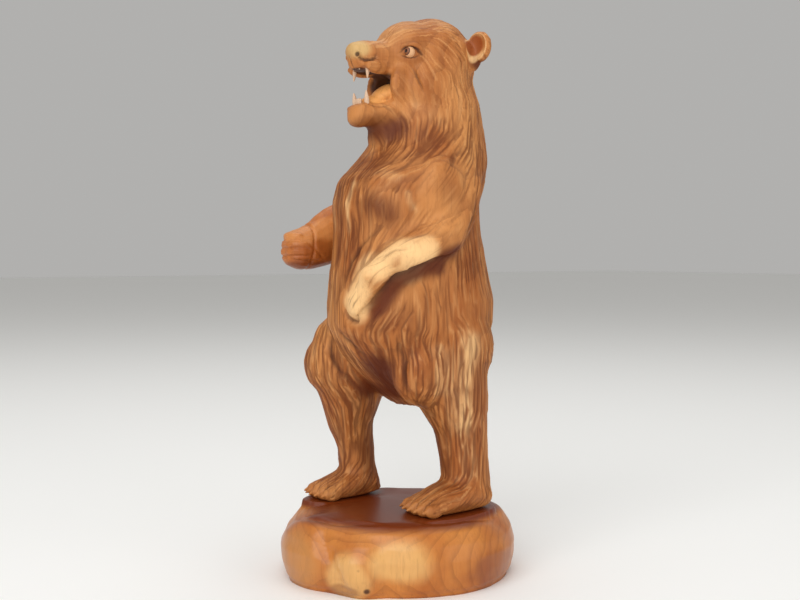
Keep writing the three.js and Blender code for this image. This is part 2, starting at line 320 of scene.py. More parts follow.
# colour along lines of points: reach, strength, softness of the edge
paleStains = [
    ([(82, -30, 273), (68, -55, 265), (52, -69, 251), (38, -76, 234), (31, -80, 217)],
     24, 1.0, 0.9),  # left forearm
    ([(88, 28, 178), (87, 20, 140), (82, 24, 92)], 30, 0.66, 1.4),  # left thigh
    ([(80, -6, 172), (78, -4, 134)], 19, 0.52, 1.4),
    ([(74, 30, 84), (74, 36, 44)], 22, 0.45, 1.5),  # back of the left shin
    ([(6, -40, 494), (18, -4, 512), (26, 30, 518)], 34, 0.42, 1.5),  # forehead
    ([(36, -2, 428), (44, 14, 410)], 24, 0.35, 1.5),  # left side of the neck
    ([(14, -72, 346), (10, -76, 320), (12, -78, 296)], 8, 0.6, 1.2),  # breast
    ([(40, -56, 358), (60, -45, 352)], 12, 0.5, 1.5),
    ([(68, -38, 334), (74, -34, 314)], 8, 0.5, 1.2),
    ([(-26, -78, 340), (-24, -82, 300)], 12, 0.5, 1.5),
    ([(-84, 30, 300), (-88, 20, 250)], 20, 0.5, 1.5),  # right side
    ([(-86, 6, 170), (-82, -10, 130)], 18, 0.55, 1.5),
    ([(20, 96, 330), (16, 100, 270)], 20, 0.45, 1.5),  # back
    ([(-52, -72, 168), (-66, -60, 130)], 12, 0.4, 1.5),  # right thigh
]
# darker colour along lines of points: painted shade under the belly and between the legs, under and behind
# the left arm, under the ear and round the throat and chin; darker on the breast, the middle of the chest
# and the shins; reach, strength, softness of the edge
paintedShadeAndDarkLines = [
    ([(32, -50, 154), (27, -30, 130)], 29, 1.0, 1.2),  # under the belly
    ([(-20, -30, 128), (24, -26, 127)], 24, 1.0, 1.2),
    ([(-8, 20, 120), (10, 50, 118)], 30, 0.9, 1.5),
    ([(94, 12, 266), (87, -30, 249), (74, -57, 237), (57, -72, 214)], 15, 0.9, 1.2),  # under the arm
    ([(42, -62, 321), (55, -53, 312)], 25, 0.7, 1.8),  # breast
    ([(45, 62, 478), (52, 66, 474)], 10, 0.8, 1.2),  # under the ear
    ([(-26, -24, 402), (-14, -42, 404), (14, -38, 400), (26, -24, 402)], 24, 0.8, 1.8),  # throat
    ([(-8, -57, 408), (10, -57, 408), (20, -40, 411)], 14, 0.5, 1.6),
    ([(-4, -60, 376), (10, -56, 372)], 24, 0.5, 1.8),
    ([(-8, -72, 345), (-8, -78, 310), (-6, -82, 270)], 16, 0.5, 1.5),  # middle of the chest
    ([(48, 8, 76), (50, 2, 46)], 20, 0.5, 1.6),  # shins
    ([(-52, -18, 60), (-54, -16, 30)], 18, 0.55, 1.6),
    ([(84, 60, 320), (92, 36, 280)], 18, 0.4, 1.5),  # behind the left arm
]
# patches: place and half sizes of each, how ragged, inner and outer edge, strength, colour
noseMark = ([((4, -58, 484), (17, 13, 11))], 0.8, (0.6, 1.25), 0.75, "nose")
furMarks = [
    ([((55, 57, 492), (19, 8, 19)), ((-55, 57, 492), (19, 8, 19))], 0.3, (0.85, 1.05), 0.6, "sap"),
    ([((51, 58, 494), (12, 9, 12.5)), ((-51, 58, 494), (12, 9, 12.5))],
     0.3, (0.85, 1.05), 0.9, "earInside"),
    # painted shade inside the mouth
    ([((0, -20, 451), (23, 21, 17)), ((0, -46, 464), (13, 16, 5))], 0.2, (0.85, 1.1), 0.9, "throat"),
    ([((0, -38, 434), (17, 24, 10)), ((2, -20, 441), (20, 20, 11))], 0.2, (0.9, 1.1), 0.9, "tongue"),
    # painted shade in the nostrils
    ([((11.5, -65, 478), (3.4, 5, 3.4)), ((-11.5, -65, 478), (3.4, 5, 3.4))],
     0, (0.7, 1.1), 0.85, "throat"),
    ([((60, -47, 337), (3.4, 3.4, 3.4))], 0, (0.6, 1.2), 0.8, "dark"),  # old knot
]


def furWood(name, look):
    paint = Paint(name)
    ring = rings(paint, look["pith"], look["ringSpacing"], look["ringWander"])
    fibre = grain(paint)
    cloud = paint.noise(paint.stretch(paint.place, (16, 16, 7)), 1.0, 4.0, 0.55)
    uneven = (cloud - 0.5) * 0.9
    cut, tone, grooveShade = paint.channels("carve")
    pale, shade = paint.channels("sapAndShade")[:2]

    def mark(under, places, ragged, edge, strength, colour):
        mask = spots(paint, places, uneven * ragged, *edge)
        return paint.mix(mask * strength, under, look[colour])

    body = paint.mix(paint.fit(cloud, 0.32, 0.68), look["brown"], look["tan"])
    body = paint.mix(paint.fit(ring, 0.55, 1.0) * look["ringDepth"], body, look["dark"])
    body = paint.mix(paint.fit(tone, 0.5, 1.0) * look["lightStrokes"], body, look["light"])
    body = paint.mix(paint.fit(1 - tone, 0.5, 1.0) * look["darkStrokes"], body, look["dark"])
    body = mark(body, *noseMark)
    streaky = (tone - 0.5) * 0.8 + uneven * 0.7 + 1
    body = paint.mix(paint.fit(pale * streaky, 0.1, 0.85) * pale * look["paleDepth"], body, look["sap"])
    # painted shade, and the darker places on the breast, chest and shins
    body = paint.mix(paint.fit(shade * (uneven + 1), 0.05, 0.95) * look["shadeDepth"], body, look["shade"])
    for each in furMarks:
        body = mark(body, *each)
    body = paint.mix(paint.fit(fibre, 0.45, 0.8) * look["fibreDepth"], body, look["dark"])
    # painted shade: the fur cuts darker where they are deeper
    body = paint.mix(paint.fit(cut, 0.4, 1.0) * look["cutDepth"], body, look["dark"])
    # painted shade darkening the cut lines
    body = paint.mix(paint.fit(grooveShade, 0.1, 0.9) * look["lineDepth"], body, look["throat"])
    rough = look["rough"] + (1 - fibre) * look["fibreRough"] + cut * look["cutRough"]
    return paint.set(Base_Color=body, Roughness=rough, Normal=paint.bump(fibre, 0.25, 0.0004),
                     Coat_Weight=look["coat"], Coat_Roughness=look["coatRough"],
                     Specular_IOR_Level=look["specular"])


def smoothWood(name, look):  # bare polished wood: the arm, the base and the hidden bits
    paint = Paint(name)
    ring = rings(paint, look["pith"], look["ringSpacing"], look["ringWander"])
    fibre = grain(paint, look["grainScale"])
    cloud = paint.noise(paint.stretch(paint.place, (18, 18, 10)), 1.0, 4.0, 0.55)
    body = paint.mix(paint.fit(cloud, 0.3, 0.7), look["brown"], look["tan"])
    body = paint.mix(paint.fit(ring, 0.5, 1.0) * look["ringDepth"], body, look["dark"])
    uneven = (cloud - 0.5) * 1.1
    for colour, places, strength in look["patches"]:
        body = paint.mix(spots(paint, places, uneven) * strength, body, colour)
    if "top" in look:
        height = paint.add("ShaderNodeSeparateXYZ", {}, {0: paint.place}, 2)
        low, high = look["topEdge"]
        edge = paint.fit(height + uneven * (look["topRagged"] * mm), low * mm, high * mm)
        body = paint.mix(edge * look["topDepth"], body, look["top"])
    body = paint.mix(paint.fit(fibre, 0.45, 0.8) * 0.22, body, look["dark"])
    rough = look["rough"] + (1 - fibre) * 0.06
    return paint.set(Base_Color=body, Roughness=rough, Normal=paint.bump(fibre, 0.15, 0.0003),
                     Coat_Weight=look["coat"], Coat_Roughness=0.32, Specular_IOR_Level=0.3)


figureForm = {
    "roughVoxel": 2.4, "blendPasses": 20, "detailBlend": 0.32,
    "faceHeight": 430, "toeHeight": 16, "crownHeight": 496, "crownHalfWide": 34, "crownFront": -24,
    "fineVoxel": 1.05, "fineSmooth": 2,
    "triangles": 194000, "headThinning": 0.5, "headHeight": 425, "footHeight": 25,
}

# rounded masses joined to the plain block: place, half sizes, turn in degrees
bodyMasses = [
    ((0, -20, 398), (24, 20, 26), (0, 0, 0)),  # throat
    ((67, 8, 330), (20, 30, 44), (18, 0, 0)),  # left upper arm
    ((79, -6, 283), (16, 24, 20), (0, 0, 0)),  # left elbow
    ((0, 92, 158), (15, 9, 10), (0, 0, 0)),  # tail
    ((-60, -52, 150), (32, 34, 36), (0, 0, 0)),  # right knee
    ((52, -2, 150), (34, 42, 40), (0, 0, 0)),  # left thigh
    ((-48, 20, 176), (40, 50, 46), (0, 0, 0)),  # right haunch
    ((0, -60, 483), (13, 8.5, 10), (0, 0, 0)),  # nose pad
    ((0, -52, 471), (16, 13, 8.5), (0, 0, 0)),  # upper lips
    ((15.5, -41, 466.5), (7, 17, 8), (0, 0, 14)),
    ((-15.5, -41, 466.5), (7, 17, 8), (0, 0, -14)),
    ((70, -44, 264), (15, 24, 15), (0, 0, 32)),  # left forearm
    ((48, -68, 246), (14, 20, 14), (-24, 0, 50)),
    ((0, -55, 413), (14, 12, 10), (0, 0, 0)),  # chin
    ((10, -44, 425), (6, 20, 6), (0, 0, 12)),  # lower lips
    ((-10, -44, 425), (6, 20, 6), (0, 0, -12)),
    ((25, -17, 449), (7, 13.5, 21), (0, 0, -10)),  # corners of the mouth
    ((-25, -17, 449), (7, 13.5, 21), (0, 0, 10)),
    ((27, -2, 490), (13, 15, 8), (0, 14, 0)),  # brows
    ((-27, -2, 490), (13, 15, 8), (0, -14, 0)),
]
# what fills the CAD's sockets: place on the left, half sizes
socketFills = {
    "eye": ((29, -10, 482), (7, 7, 7)),
    "canines": [((12, -51, 474), (6, 6, 5)), ((12, -51, 425), (6, 6, 5))],
    "incisors": [((0, -54, 474), (9, 5, 5)), ((0, -54, 425), (9, 5, 5))],
}
headMasses = [
    ((10, -62, 478), (4.5, 5, 4), (0, 0, 20)),  # rims of the nostrils
    ((-10, -62, 478), (4.5, 5, 4), (0, 0, -20)),
    ((0, -38, 432), (13, 17, 7), (14, 0, 0)),  # tongue
    ((3, -22, 442), (16, 20, 9), (28, 0, 0)),
]
earForm = {"place": (51, 65, 492), "halfSizes": (16.5, 8.5, 17), "rootPlace": (39, 62, 480),
           "rootSizes": (14, 10, 14), "turn": 9, "dishReach": 13.5, "dish": 8}
footForm = {
    "feet": [(56, -26, 28), (-65, -76, 26)],  # middle of the foot, tips of the toes, half width
    "spacing": 0.38, "toeSizes": (6.2, 11, 7.6), "clawSizes": (1.9, 6.5, 2.1), "clawDroop": 18,
    "grooveWidth": 3.0, "grooveDepth": 2.0,
}
pawForm = {  # fingers at the end of the left forearm
    "place": (31, -77, 222), "spacing": 7, "fingerSizes": (5, 6, 13), "turn": (-8, 30, 0),
    "grooveStart": (31, -84, 224), "grooveWidth": 2.6, "grooveDepth": 1.6,
}


def toesAndClaws():
    pieces = []
    for x, toeY, halfWide in footForm["feet"]:
        for place in (-2, -1, 0, 1, 2):
            across = x + place * halfWide * footForm["spacing"]
            front = toeY + 10 + place * place * 1.2
            pieces.append(lump(at(across, front, 7), footForm["toeSizes"]))
            claw = lump(at(across, front - 9.5, 7.5), footForm["clawSizes"], (footForm["clawDroop"], 0, 0))
            pieces.append(claw)
    return pieces


def ears():
    pieces = []
    for side in (1, -1):
        for place, sizes in (("place", "halfSizes"), ("rootPlace", "rootSizes")):
            x, y, height = earForm[place]
            pieces.append(lump(at(side * x, y, height), earForm[sizes], (0, 0, side * earForm["turn"])))
    return pieces


def nearPaw():
    pieces = []
    x, y, height = pawForm["place"]
    for i in range(4):
        shift = (i - 1.5) * pawForm["spacing"]
        place = at(x + shift * 0.75, y + abs(shift) * 0.15, height - shift * 0.55)
        pieces.append(lump(place, pawForm["fingerSizes"], pawForm["turn"]))
    return pieces


def softenBody(block):  # the body is blended, the face, toes and claws keep their forms
    group = block.vertex_groups.new(name="soften")
    keep, soft = [], []
    top, low = at(0, 0, figureForm["faceHeight"]).z, at(0, 0, figureForm["toeHeight"]).z
    crown = at(0, 0, figureForm["crownHeight"]).z - home.z
    for vertex in block.data.vertices:
        x, y, z = vertex.co - home
        isCrown = (z > crown and abs(x) < figureForm["crownHalfWide"] * mm
                   and y > figureForm["crownFront"] * mm)
        isDetail = vertex.co.z > top or vertex.co.z < low
        (keep if isDetail and not isCrown else soft).append(vertex.index)
    group.add(soft, 1.0, "REPLACE")
    group.add(keep, figureForm["detailBlend"], "REPLACE")
    modify(block, "SMOOTH", factor=0.5, iterations=figureForm["blendPasses"], vertex_group="soften")
    block.vertex_groups.clear()


def roughFigure():
    block = cadCopy("figure", "bear")
    (x, y, height), sizes = socketFills["eye"]
    fills = [lump(at(side * x, y, height), sizes) for side in (1, -1)]
    for side in (1, -1):
        fills += [lump(at(side * x, y, height), sizes) for (x, y, height), sizes in socketFills["canines"]]
    fills += [lump(at(*place), sizes) for place, sizes in socketFills["incisors"]]
    masses = [lump(at(*place), sizes, turn) for place, sizes, turn in bodyMasses]
    joinInto(block, masses + fills)
    modify(block, "REMESH", mode="VOXEL", voxel_size=figureForm["roughVoxel"] * mm)
    softenBody(block)
    print("bear: rough block", len(block.data.vertices))
    details = [lump(at(*place), sizes, turn) for place, sizes, turn in headMasses]
    joinInto(block, details + ears() + toesAndClaws() + nearPaw())
    modify(block, "REMESH", mode="VOXEL", voxel_size=figureForm["fineVoxel"] * mm)
    modify(block, "SMOOTH", factor=0.5, iterations=figureForm["fineSmooth"])
    print("bear: fine block", len(block.data.vertices))
    return block


# which way the fur lies: place, direction; those above the legs also hold mirrored on the right side
combing = [
    ((0, -45, 497), (0, 1, 0.3)), ((18, -40, 480), (0.2, 1, 0.1)), ((0, -10, 515), (0, 0.9, 0.4)),  # head
    ((0, 30, 527), (0, 1, 0)), ((0, 78, 500), (0, 0.3, -1)), ((25, -5, 505), (0.3, 0.8, 0.3)),
    ((30, 40, 515), (0.2, 0.9, -0.3)), ((34, -22, 470), (0.2, 0.9, -0.3)),
    ((38, -8, 458), (0.1, 0.35, -0.95)), ((48, 20, 480), (0.1, 0.6, -0.75)), ((50, 45, 455), (0, 0.2, -1)),
    ((40, 5, 440), (0.1, 0.15, -1)), ((28, -25, 420), (0.2, 0.6, -0.7)), ((0, -40, 405), (0, 0.8, -0.4)),
    ((0, -20, 395), (0, -0.1, -1)), ((30, -15, 395), (0, -0.2, -1)),  # neck and chest
    ((56, 36, 415), (0, -0.25, -1)), ((60, 70, 380), (0, -0.3, -1)), ((72, 30, 370), (0, -0.6, -0.8)),
    ((74, 10, 330), (0, -0.55, -0.85)), ((62, -10, 360), (-0.3, -0.7, -0.6)),
    ((50, -45, 350), (-0.4, -0.5, -0.8)), ((58, -46, 325), (-0.2, -0.2, -1)), ((15, -65, 330), (0, 0, -1)),
    ((20, -75, 290), (0.05, 0, -1)), ((86, -2, 300), (0, -0.75, -0.65)),
    ((84, -30, 275), (-0.3, -0.9, -0.3)),
    ((70, -52, 262), (-0.6, -0.65, -0.45)), ((45, -76, 238), (-0.6, -0.3, -0.75)),  # forearm and flank
    ((82, 40, 270), (0, 0.1, -1)), ((84, 35, 300), (0, -0.1, -1)), ((80, -20, 235), (0, 0.1, -1)),
    ((75, -40, 205), (-0.15, -0.1, -1)), ((20, -82, 215), (0.0, 0.0, -1)),
    ((88, 10, 200), (0, 0.25, -0.95)),
    ((60, 75, 190), (0, 0.1, -1)), ((72, -40, 165), (-0.1, 0.1, -1)), ((86, 5, 150), (0, -0.1, -1)),
    ((85, 25, 120), (0, 0.1, -1)), ((70, 50, 70), (0, 0.1, -1)),  # left leg
    ((56, 10, 22), (0, -0.9, -0.35)), ((56, -15, 12), (0, -1, -0.1)), ((52, 30, 45), (0, 0, -1)),
    ((0, 100, 300), (0, 0, -1)), ((40, 85, 340), (0.1, 0, -1)), ((0, 95, 400), (0, 0, -1)),  # back
    ((30, -70, 160), (0.05, 0.2, -1)),
]

rightCombing = [  # only on the right leg, which stands further forward
    ((-64, -20, 55), (0, 0, -1)), ((-64, -30, 85), (0, 0.05, -1)), ((-64, -2, 50), (0, 0, -1)),
    ((-65, -30, 25), (0, -0.6, -0.6)), ((-65, -50, 18), (0, -0.95, -0.3)), ((-60, -60, 120), (0, 0.3, -1)),
    ((-60, -78, 165), (0, 0.1, -1)), ((-64, -5, 18), (0, -0.3, -1)), ((-45, -45, 150), (0.2, 0.5, -0.8)),
]

# smooth places without fur strokes: place, reach
bald = [
    ((0, -66, 482), 19), ((33.5, -12, 482), 8.5), ((-33.5, -12, 482), 8.5), ((0, -50, 449), 24),
    ((0, -28, 447), 25), ((0, -62, 424), 10), ((52, 56, 495), 15), ((-52, 56, 495), 15),
    ((56, -30, 5), 15), ((38, -24, 5), 12), ((76, -24, 5), 12),
    ((-65, -82, 5), 15), ((-82, -76, 5), 12), ((-48, -76, 5), 12), ((30, -80, 214), 13),
]

# quieter fur: place, reach, share of the depth left in the middle
calm = [
    ((84, 6, 345), 62, 0.55), ((62, -46, 325), 46, 0.65), ((60, -58, 255), 40, 0.3),
    ((34, -80, 222), 26, 0.2), ((84, -20, 278), 34, 0.45), ((42, -4, 452), 34, 0.3),
    ((30, -14, 482), 26, 0.45), ((0, -20, 505), 44, 0.6), ((92, 30, 235), 50, 0.6),
    ((-84, 6, 345), 62, 0.6), ((-42, -4, 452), 34, 0.3), ((-30, -14, 482), 26, 0.45),
    ((0, -58, 420), 24, 0.3), ((56, -10, 16), 26, 0.6), ((-65, -60, 16), 26, 0.6),
    ((20, -30, 474), 26, 0.35),
]

strokeForm = {
    "step": 1.5, "ends": 0.45, "flank": 1.4, "fullDepth": 1.15, "guideReach": 26, "mirroredAbove": 130,
    "faceHeight": 436, "faceBack": 30, "faceSize": 0.42,
    "headHeight": 425, "footHeight": 30, "headSize": 0.7,
    "soleHeight": 4, "seed": 7,
}
strokeKinds = [  # room: how much of its depth may be cut already where it starts
    {"count": 9000, "halfWidth": 2.1, "depth": 1.15, "length": (34, 84), "room": 0.45},
    {"count": 9000, "halfWidth": 1.5, "depth": 0.7, "length": (18, 50), "room": 0.75},
]


def furFlow(places):
    flow = np.zeros_like(places)
    lowest = strokeForm["mirroredAbove"]
    mirrored = [((-x, y, z), (-a, b, c)) for (x, y, z), (a, b, c) in combing if z > lowest]
    for place, way in combing + mirrored + rightCombing:
        guide = np.array(at(*place))
        direction = np.array(way)
        weight = 1 / (((places - guide) ** 2).sum(1) / (strokeForm["guideReach"] * mm) ** 2 + 0.02) ** 2
        flow += weight[:, None] * direction / np.linalg.norm(direction)
    turned = flow / (np.linalg.norm(flow, axis=1, keepdims=True) + 1e-9)
    x, y, z = places.T
    wave = np.sin(z * 88 + x * 55 + np.sin(y * 60) * 1.5) * 0.2 + np.sin(z * 190 - y * 130) * 0.07
    across = np.cross(turned, places - np.array(home) * [1, 1, 0])
    across /= np.linalg.norm(across, axis=1, keepdims=True) + 1e-9
    return turned + across * wave[:, None]


def cutFur(carving, random):
    co, normal = carving.co.copy(), carving.normal.copy()
    tree = kdtree.KDTree(len(co))
    for i, place in enumerate(co):
        tree.insert(place, i)
    tree.balance()
    flow = furFlow(co)
    flow -= normal * (flow * normal).sum(1, keepdims=True)
    flow /= np.linalg.norm(flow, axis=1, keepdims=True) + 1e-9
    isBald = np.zeros(len(co), bool)
    for place, reach in bald:
        isBald |= ((co - np.array(at(*place))) ** 2).sum(1) < (reach * mm) ** 2
    isBald |= co[:, 2] < at(0, 0, strokeForm["soleHeight"]).z
    quiet = np.ones(len(co))
    for place, reach, least in calm:
        far = np.sqrt(((co - np.array(at(*place))) ** 2).sum(1)) / (reach * mm)
        quiet = np.minimum(quiet, least + (1 - least) * far.clip(0, 1) ** 2)
    height = (co[:, 2] - home.z) / mm
    forward = (co[:, 1] - home.y) / mm
    isFace = (height > strokeForm["faceHeight"]) & (forward < strokeForm["faceBack"])
    isHead = (height > strokeForm["headHeight"]) | (height < strokeForm["footHeight"])
    size = np.where(isFace, strokeForm["faceSize"], np.where(isHead, strokeForm["headSize"], 1.0))
    step = strokeForm["step"] * mm
    deep = np.zeros(len(co))
    tone = np.full(len(co), 0.5)
    for kind in strokeKinds:
        for _ in range(kind["count"]):
            start = int(random.integers(len(co)))
            small = size[start]
            depth = kind["depth"] * (0.75 * small + 0.25) * random.uniform(0.7, 1.15) * mm * quiet[start]
            if isBald[start] or deep[start] > depth * kind["room"]:
                continue
            length = random.uniform(*kind["length"]) * small * mm
            halfWidth = kind["halfWidth"] * (0.5 * small + 0.5) * random.uniform(0.8, 1.2) * mm
            shade = 0.5 + random.uniform(-0.5, 0.5) * quiet[start]
            place, index = Vector(co[start]), start
            path = [(place, index)]
            for _ in range(max(4, int(length / step))):
                place, index, _far = tree.find(place + Vector(flow[index]) * step)
                if isBald[index]:
                    break
                path.append((place, index))
            for k, (place, index) in enumerate(path):
                fade = math.sin(math.pi * (k + 0.5) / len(path)) ** strokeForm["ends"]
                way = flow[index]
                ids = np.array([item[1] for item in tree.find_range(place, halfWidth)])
                offset = co[ids] - np.array(place)
                offset -= (offset @ way)[:, None] * way
                side = np.linalg.norm(offset, axis=1) / halfWidth
                cut = depth * fade * (1 - side ** strokeForm["flank"]).clip(0, 1)
                deeper = cut > deep[ids]
                chosen = ids[deeper]
                deep[chosen] = cut[deeper]
                tone[chosen] = shade
    carving.co -= normal * deep[:, None]
    return deep / (strokeForm["fullDepth"] * mm), tone


# lines cut into the wood: points, width, depth, darkness of the painted shade in the cut; each also
# mirrored on the right side
faceLines = [
    ([(11, -66, 477), (13, -60, 473.5), (16, -52, 472), (18, -46, 475), (17, -44, 480)],
     4.0, 2.4, 0.8),  # nostril
    ([(0, -70, 476), (0, -66, 468), (0, -60, 464)], 2.6, 1.4, 0.7),  # under the nose
    ([(27, -21.5, 480), (30, -18, 485.5), (34.5, -11.5, 487.2), (38.5, -4.5, 484), (40, -1, 479.5)],
     3.0, 1.8, 1.0),
    ([(27, -21.5, 480), (31, -17, 476.8), (35.5, -9.5, 476), (40, -1, 479.5)], 2.4, 1.2, 0.7),  # lids
    ([(37, -9, 486.5), (39.2, -4, 483), (41, 0.5, 478)], 3.4, 1.4, 1.0),  # outer corner of the eye
    ([(26, -22, 486), (30, -18, 493), (37, -6, 493), (42, 2, 486)], 2.8, 0.8, 0.3),  # fold over the eye
    ([(34, -14, 471), (39, -10, 460), (43, -6, 448), (46, -2, 436)], 3.8, 1.9, 0.55),  # cheek ruff
    ([(8, -62, 461), (17, -51, 460), (25, -37, 459), (30, -28, 455)], 2.6, 0.8, 0.35),  # upper lip
    ([(29, -30, 437), (23, -39, 429), (12, -58, 426)], 2.8, 1.0, 0.45),  # lower lip
]
bodyLines = [  # points, width, depth; each cut gets painted shade
    ([(86, 18, 272), (89, -4, 262), (87, -27, 256), (77, -52, 247), (66, -62, 233), (50, -72, 215),
      (36, -80, 205)], 9, 6),  # under the left forearm
    ([(12, -84, 218), (20, -84, 206), (34, -80, 202), (46, -74, 209)], 6, 5),  # round the near paw
    ([(56, -46, 306), (38, -66, 288), (22, -76, 268), (12, -82, 245), (10, -84, 225)], 6, 2.0),  # above it
    ([(70, -51, 196), (68, -48, 165), (66, -44, 138), (58, -26, 121)], 8, 3.0),  # front of the left thigh
    ([(-10, -84, 200), (12, -80, 178), (36, -70, 156)], 7, 2.0),  # right groin
    ([(-26, -80, 196), (-34, -66, 158), (-30, -40, 128)], 7, 2.5),  # inside of the right thigh
    ([(82, 44, 330), (88, 30, 300), (88, 22, 276)], 7, 2.5),  # behind the left elbow
]
dents = {  # place, reach, depth
    "nostril": ((11.5, -66, 478), 5.0, 5.0), "eye": ((34, -12.5, 482), 8.5, 2.4),
    "knot": ((59, -46, 337), 5, 1.6),
}


def carveDetails(carving):
    for side in (1, -1):
        for points, width, depth, grooveShade in faceLines:
            path = curveThrough([at(side * x, y, height) for x, y, height in points])
            carving.groove(path, width, depth, grooveShade=grooveShade)
        (x, y, height), reach, depth = dents["nostril"]
        carving.pull(at(side * x, y, height), reach, -depth, way=(-side * 0.2, -1, 0.1), soft=1.2)
        (x, y, height), reach, depth = dents["eye"]
        carving.pull(at(side * x, y, height), reach, -depth)
        x, y, height = earForm["place"]
        front = at(side * (x + 1.5), y - 8, height + 1)
        carving.pull(front, earForm["dishReach"], -earForm["dish"], way=(0, -1, 0), soft=0.8)
    for points, width, depth in bodyLines:
        carving.groove(curveThrough([at(*point) for point in points]), width, depth)
    for x, toeY, halfWide in footForm["feet"]:
        for place in (-1.5, -0.5, 0.5, 1.5):
            across = x + place * halfWide * footForm["spacing"]
            inward = across * 0.97 + x * 0.03
            path = [at(across, toeY + 3, 6), at(across, toeY + 12, 14), at(inward, toeY + 26, 20)]
            carving.groove(curveThrough(path), footForm["grooveWidth"], footForm["grooveDepth"])
    x, y, height = pawForm["grooveStart"]
    for i in (-1, 0, 1):
        start = at(x + i * 5.3, y, height - i * 3.9)
        path = [start + Vector((10, 4, 12)) * mm, start, start - Vector((6, -1, 8)) * mm]
        carving.groove(path, pawForm["grooveWidth"], pawForm["grooveDepth"])
    place, reach, depth = dents["knot"]
    carving.pull(at(*place), reach, -depth)


def carryAttribute(piece, name, places, values):  # values from the nearest of the given places
    tree = kdtree.KDTree(len(places))
    for i, place in enumerate(places):
        tree.insert(place, i)
    tree.balance()
    source = [tree.find(vertex.co)[1] for vertex in piece.data.vertices]
    colours = np.ones((len(source), 4), np.float32)
    for channel, value in enumerate(values):
        colours[:, channel] = value[source]
    layer = piece.data.color_attributes.new(name, "FLOAT_COLOR", "POINT")
    layer.data.foreach_set("color", colours.ravel())


def thin(piece):  # fewer triangles, most of them kept on the head and feet
    group = piece.vertex_groups.new(name="thin")
    top, low = at(0, 0, figureForm["headHeight"]).z, at(0, 0, figureForm["footHeight"]).z
    fine, coarse = [], []
    for vertex in piece.data.vertices:
        (fine if vertex.co.z > top or vertex.co.z < low else coarse).append(vertex.index)
    group.add(coarse, 1.0, "REPLACE")
    group.add(fine, figureForm["headThinning"], "REPLACE")
    ratio = figureForm["triangles"] / (2 * len(piece.data.polygons))
    modify(piece, "DECIMATE", ratio=ratio, vertex_group="thin", vertex_group_factor=1.0)
    piece.vertex_groups.clear()


def bear():
    piece = roughFigure()
    carving = Carving(piece)
    carveDetails(carving)
    carving.store()
    for layer, sapAndShadeLines in ((carving.pale, paleStains), (carving.shade, paintedShadeAndDarkLines)):
        for points, reach, strength, soft in sapAndShadeLines:
            carving.sapAndShade(layer, curveThrough([at(*point) for point in points]), reach, strength, soft)
    cut, tone = cutFur(carving, np.random.default_rng(strokeForm["seed"]))
    carving.store()
    print("bear: fur carved")
    fine = carving.co.copy()
    thin(piece)
    print("bear: thinned to", len(piece.data.polygons))
    carryAttribute(piece, "carve", fine, (cut, tone, carving.grooveShade))
    carryAttribute(piece, "sapAndShade", fine, (carving.pale, carving.shade))
    finishPiece(piece, furWood("furWood", furLook), "figure")


bear()

# right forearm and closed paw
armLook = {
    "dark": rgb(96, 40, 12), "brown": rgb(158, 84, 34), "tan": rgb(186, 110, 50), "pith": (-60, 60),
    "ringSpacing": 13, "ringWander": 30, "grainScale": 1.0, "ringDepth": 0.14, "rough": 0.38, "coat": 0.12,
    "patches": [
        (rgb(222, 150, 84), [((-66, -92, 292), (20, 20, 13)), ((-54, -60, 300), (14, 30, 14))], 0.55),
        # painted shade under the forearm and fist
        (rgb(98, 40, 14), [((-70, -80, 256), (26, 40, 9))], 0.6),
    ],
}
armForm = {
    "voxel": 1.1, "smooth": 3,
    "fist": (-69.5, -97, 291), "fingerStep": 8.6, "fingerSizes": (16.5, 11, 5.4), "fingerTurn": (0, 0, -4),
    "thumb": ((-56, -78, 283), (6.5, 17, 7), (-8, 0, 10)), "fingerGroove": (2.6, 2.2),
    "wrist": (-69.5, -81, 277), "wristSizes": (24, 2, 26), "wristGroove": (3.0, 1.6),
    "palmLines": [  # points, width, depth
        ([(-48, -92, 287), (-47, -78, 275), (-50, -66, 264)], 3, 1.4),
        ([(-58, -108, 265), (-50, -92, 262), (-50, -70, 262)], 3, 2.2),
    ],
    "seam": ((-72, -17, 299), 44, 2.0),  # swelling that closes the glued seam: place, reach, amount
}


def forearm():
    arm = cadCopy("right_forearm", "forearm")
    rolls = []
    x, y, top = armForm["fist"]
    for i in range(4):  # curled fingers, one under the other
        place = at(x, y + abs(i - 1.2) * 1.4, top - i * armForm["fingerStep"])
        rolls.append(lump(place, armForm["fingerSizes"], armForm["fingerTurn"]))
    place, sizes, turn = armForm["thumb"]
    rolls.append(lump(at(*place), sizes, turn))
    joinInto(arm, rolls)
    modify(arm, "REMESH", mode="VOXEL", voxel_size=armForm["voxel"] * mm)
    modify(arm, "SMOOTH", factor=0.5, iterations=armForm["smooth"])
    carving = Carving(arm)
    for i in range(3):
        height = top - (i + 0.5) * armForm["fingerStep"]
        points = [(-47, -86 + i * 2, height - 1), (-53, -100, height), (-69, -112, height),
                  (-90, -92, height)]
        carving.groove(curveThrough([at(*point) for point in points]), *armForm["fingerGroove"])
    (x, y, height), (wide, deep, high) = armForm["wrist"], armForm["wristSizes"]
    ring = []
    for i in range(25):
        angle = 2 * math.pi * i / 24
        across, up = math.cos(angle), math.sin(angle)
        ring.append(at(x + wide * across, y + deep * up, height + high * up))
    carving.groove(ring, *armForm["wristGroove"], taper=False)
    for points, width, depth in armForm["palmLines"]:
        carving.groove(curveThrough([at(*point) for point in points]), width, depth)
    place, reach, amount = armForm["seam"]
    carving.pull(at(*place), reach, amount, soft=1)
    carving.store()
    finishPiece(arm, smoothWood("forearmWood", armLook), "right_forearm")
    print("forearm", len(arm.data.polygons))


forearm()

